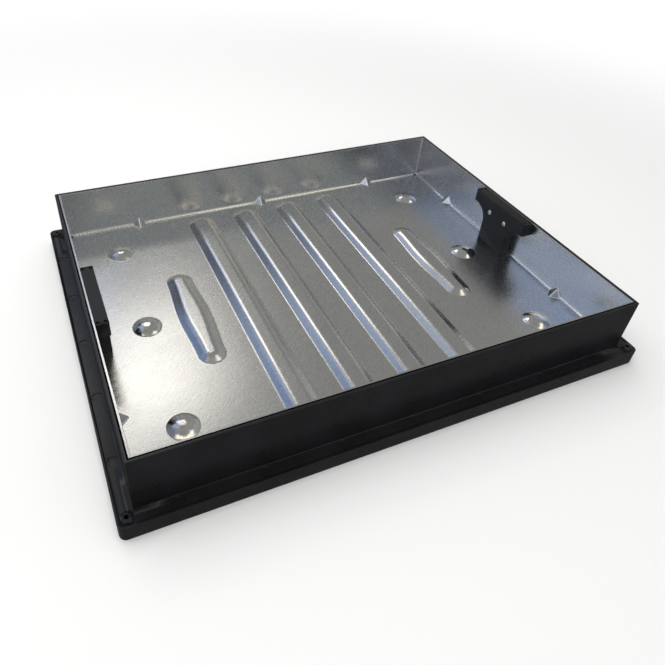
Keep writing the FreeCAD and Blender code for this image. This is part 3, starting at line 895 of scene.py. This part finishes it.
def studio_floor():
    """Pale disc under the cover that fades to plain white far out, and that glossy plastic mirrors as dark ground."""
    mesh = bpy.data.meshes.new("studio_floor")
    work = bmesh.new()
    bmesh.ops.create_circle(work, cap_ends=True, segments=96, radius=FLOOR_RADIUS)
    work.to_mesh(mesh)
    work.free()
    piece = link("studio_floor", mesh)
    material = bpy.data.materials.new("studio_floor")
    material.use_nodes = True
    tree = material.node_tree
    graph = Graph(tree)
    surface = tree.nodes["Principled BSDF"]
    surface.inputs["Base Color"].default_value = grey(0.9)
    surface.inputs["Roughness"].default_value = 0.9
    surface.inputs["Specular IOR Level"].default_value = 0.0
    place = graph.node("ShaderNodeTexCoord", out="Object")
    out = graph.node("ShaderNodeVectorMath", {"operation": "LENGTH"}, {0: place}, out="Value")
    glow = graph.node("ShaderNodeEmission", None, {"Color": grey(1.0), "Strength": 1.0})
    blend = graph.node("ShaderNodeMixShader", None, {0: out.ramp(0.7, 1.6), 1: Out(graph, surface.outputs[0]), 2: glow})
    path = tree.nodes.new("ShaderNodeLightPath")
    ground = graph.node("ShaderNodeEmission", None, {"Color": grey(GROUND_LEVEL), "Strength": 1.0})
    both = graph.node("ShaderNodeMixShader", None, {0: Out(graph, path.outputs["Is Glossy Ray"]), 1: blend, 2: ground})
    tree.links.new(both.socket, tree.nodes["Material Output"].inputs["Surface"])
    mesh.materials.append(material)
    return piece


floor = studio_floor()
print("floor", floor.name)

# %% World
ROOM_LEVEL = 0.6
DIM_SIDE = (0.292, 0.292, 0.282, 1)
FAR_LEFT = (0.60, 0.80, 1.20, 1)
LOW_LEFT = (1.5, 1.45, 1.3, 1)
BRIGHT_SKY = (0.95, 1.15, 1.75, 1)
RIGHT_SIDE = (0.37, 0.37, 0.36, 1)
COOL_SIDE = (0.45, 0.56, 0.76, 1)
PALE_SIDE = (0.53, 0.58, 0.70, 1)
DEEP_SIDE = (0.17, 0.25, 0.43, 1)
DARK_BACK = (0.07, 0.07, 0.08, 1)
FRONT_SIDE = (0.27, 0.32, 0.36, 1)
FRONT_WINDOW = (1.0, 0.95, 0.80, 1)
FRONT_HIGH = (1.6, 1.5, 1.25, 1)
NEAR_LEFT = (1.1, 1.25, 1.6, 1)
OVERHEAD = (0.30, 0.30, 0.28, 1)


def studio_world():
    """White behind everything; for mirrors, a dim room with a cool left side; for the rest, an even light."""
    world = bpy.data.worlds.new("studio")
    bpy.context.scene.world = world
    world.use_nodes = True
    tree = world.node_tree
    graph = Graph(tree)
    tree.nodes.clear()
    path = tree.nodes.new("ShaderNodeLightPath")
    place = graph.node("ShaderNodeTexCoord", out="Generated")
    split = tree.nodes.new("ShaderNodeSeparateXYZ")
    tree.links.new(place.socket, split.inputs[0])
    right, back, up = (Out(graph, split.outputs[axis]) for axis in "XYZ")

    def blend(share, low, high):
        return graph.node("ShaderNodeMix", {"data_type": "RGBA"}, {0: share, 6: low, 7: high}, out=2)

    left = blend(up.ramp(0.42, 0.52), DIM_SIDE, blend(up.ramp(0.68, 0.78), COOL_SIDE, PALE_SIDE))
    left = blend(right.ramp(-0.46, -0.50), left, DEEP_SIDE)
    left = blend(back.ramp(0.63, 0.56) * right.ramp(-0.30, -0.40) * 0.8, left, DEEP_SIDE)
    left = blend(back.ramp(0.68, 0.74) * right.ramp(-0.49, -0.44), left, DARK_BACK)
    far = blend(up.ramp(0.48, 0.38), FAR_LEFT, LOW_LEFT)
    left = blend(right.ramp(-0.58, -0.66) * back.ramp(0.15, 0.3), left, far)
    colour = blend(right.ramp(0.05, -0.3), blend(right.ramp(0.55, 0.75), DIM_SIDE, RIGHT_SIDE), left)
    sky = right.ramp(-0.18, -0.12) * right.ramp(0.05, -0.01) * up.ramp(0.50, 0.62) * up.ramp(0.72, 0.66)
    colour = blend(sky, colour, BRIGHT_SKY)
    colour = blend(back.ramp(0.1, -0.3), colour, FRONT_SIDE)
    window = back.ramp(-0.5, -0.6) * up.ramp(0.10, 0.16) * up.ramp(0.42, 0.34)
    colour = blend(window, colour, FRONT_WINDOW)
    colour = blend(right.ramp(-0.20, -0.30) * back.ramp(-0.60, -0.70), colour, DARK_BACK)
    near = right.ramp(-0.38, -0.44) * back.ramp(-0.3, -0.4) * back.ramp(-0.66, -0.6) * up.ramp(0.72, 0.64)
    colour = blend(near, colour, NEAR_LEFT)
    colour = blend(up.ramp(0.8, 0.97), colour, OVERHEAD)
    high = back.ramp(0.05, -0.15) * up.ramp(0.72, 0.80) * up.ramp(0.93, 0.88)
    colour = blend(high, colour, FRONT_HIGH)
    sides = graph.node("ShaderNodeBackground", None, {"Color": colour, "Strength": 1.0})
    room = graph.node("ShaderNodeBackground", None, {"Color": grey(1.0), "Strength": ROOM_LEVEL})
    white = graph.node("ShaderNodeBackground", None, {"Color": grey(1.0), "Strength": 1.0})
    mirrored = graph.node("ShaderNodeMixShader", None, {0: Out(graph, path.outputs["Is Glossy Ray"]), 1: room, 2: sides})
    seen = graph.node("ShaderNodeMixShader", None, {0: Out(graph, path.outputs["Is Camera Ray"]), 1: mirrored, 2: white})
    end = tree.nodes.new("ShaderNodeOutputWorld")
    tree.links.new(seen.socket, end.inputs["Surface"])
    return world


world = studio_world()
print("world", world.name)

# %% Lamps
def softbox(name, place, aim, size, radiance, colour=(1, 1, 1), turn=0.0, mirrored=True):
    """A rectangular area lamp that looks at a point, as bright as a surface of this radiance."""
    data = bpy.data.lights.new(name, "AREA")
    data.shape = "RECTANGLE"
    data.size, data.size_y = size
    data.energy = radiance * math.pi * size[0] * size[1]
    data.color = colour
    lamp = bpy.data.objects.new(name, data)
    lamp.location = place
    look = (Vector(aim) - Vector(place)).to_track_quat("-Z", "Y")
    lamp.rotation_euler = (look @ Quaternion((0, 0, 1), math.radians(turn))).to_euler()
    lamp.visible_glossy = mirrored
    bpy.context.scene.collection.objects.link(lamp)
    return lamp


WARM = (1.0, 0.97, 0.88)
softbox("strip", (0.36, 4.96, 5.51), (-0.27, -0.08, 0.02), (1.85, 1.20), 3.0, WARM, turn=20)
softbox("top", (-0.2, -0.5, 2.4), (-0.1, 0.0, 0.0), (0.8, 0.5), 3.0, WARM, mirrored=False)
softbox("overhead", (-0.5, 0.35, 1.8), (-0.15, 0.0, 0.0), (1.8, 1.8), 2.0, mirrored=False)
softbox("front", (-0.8, -2.2, 1.6), (0.0, 0.0, 0.0), (1.5, 1.0), 1.0, mirrored=False)
bpy.context.scene.view_settings.view_transform = "Standard"
print("four lamps")
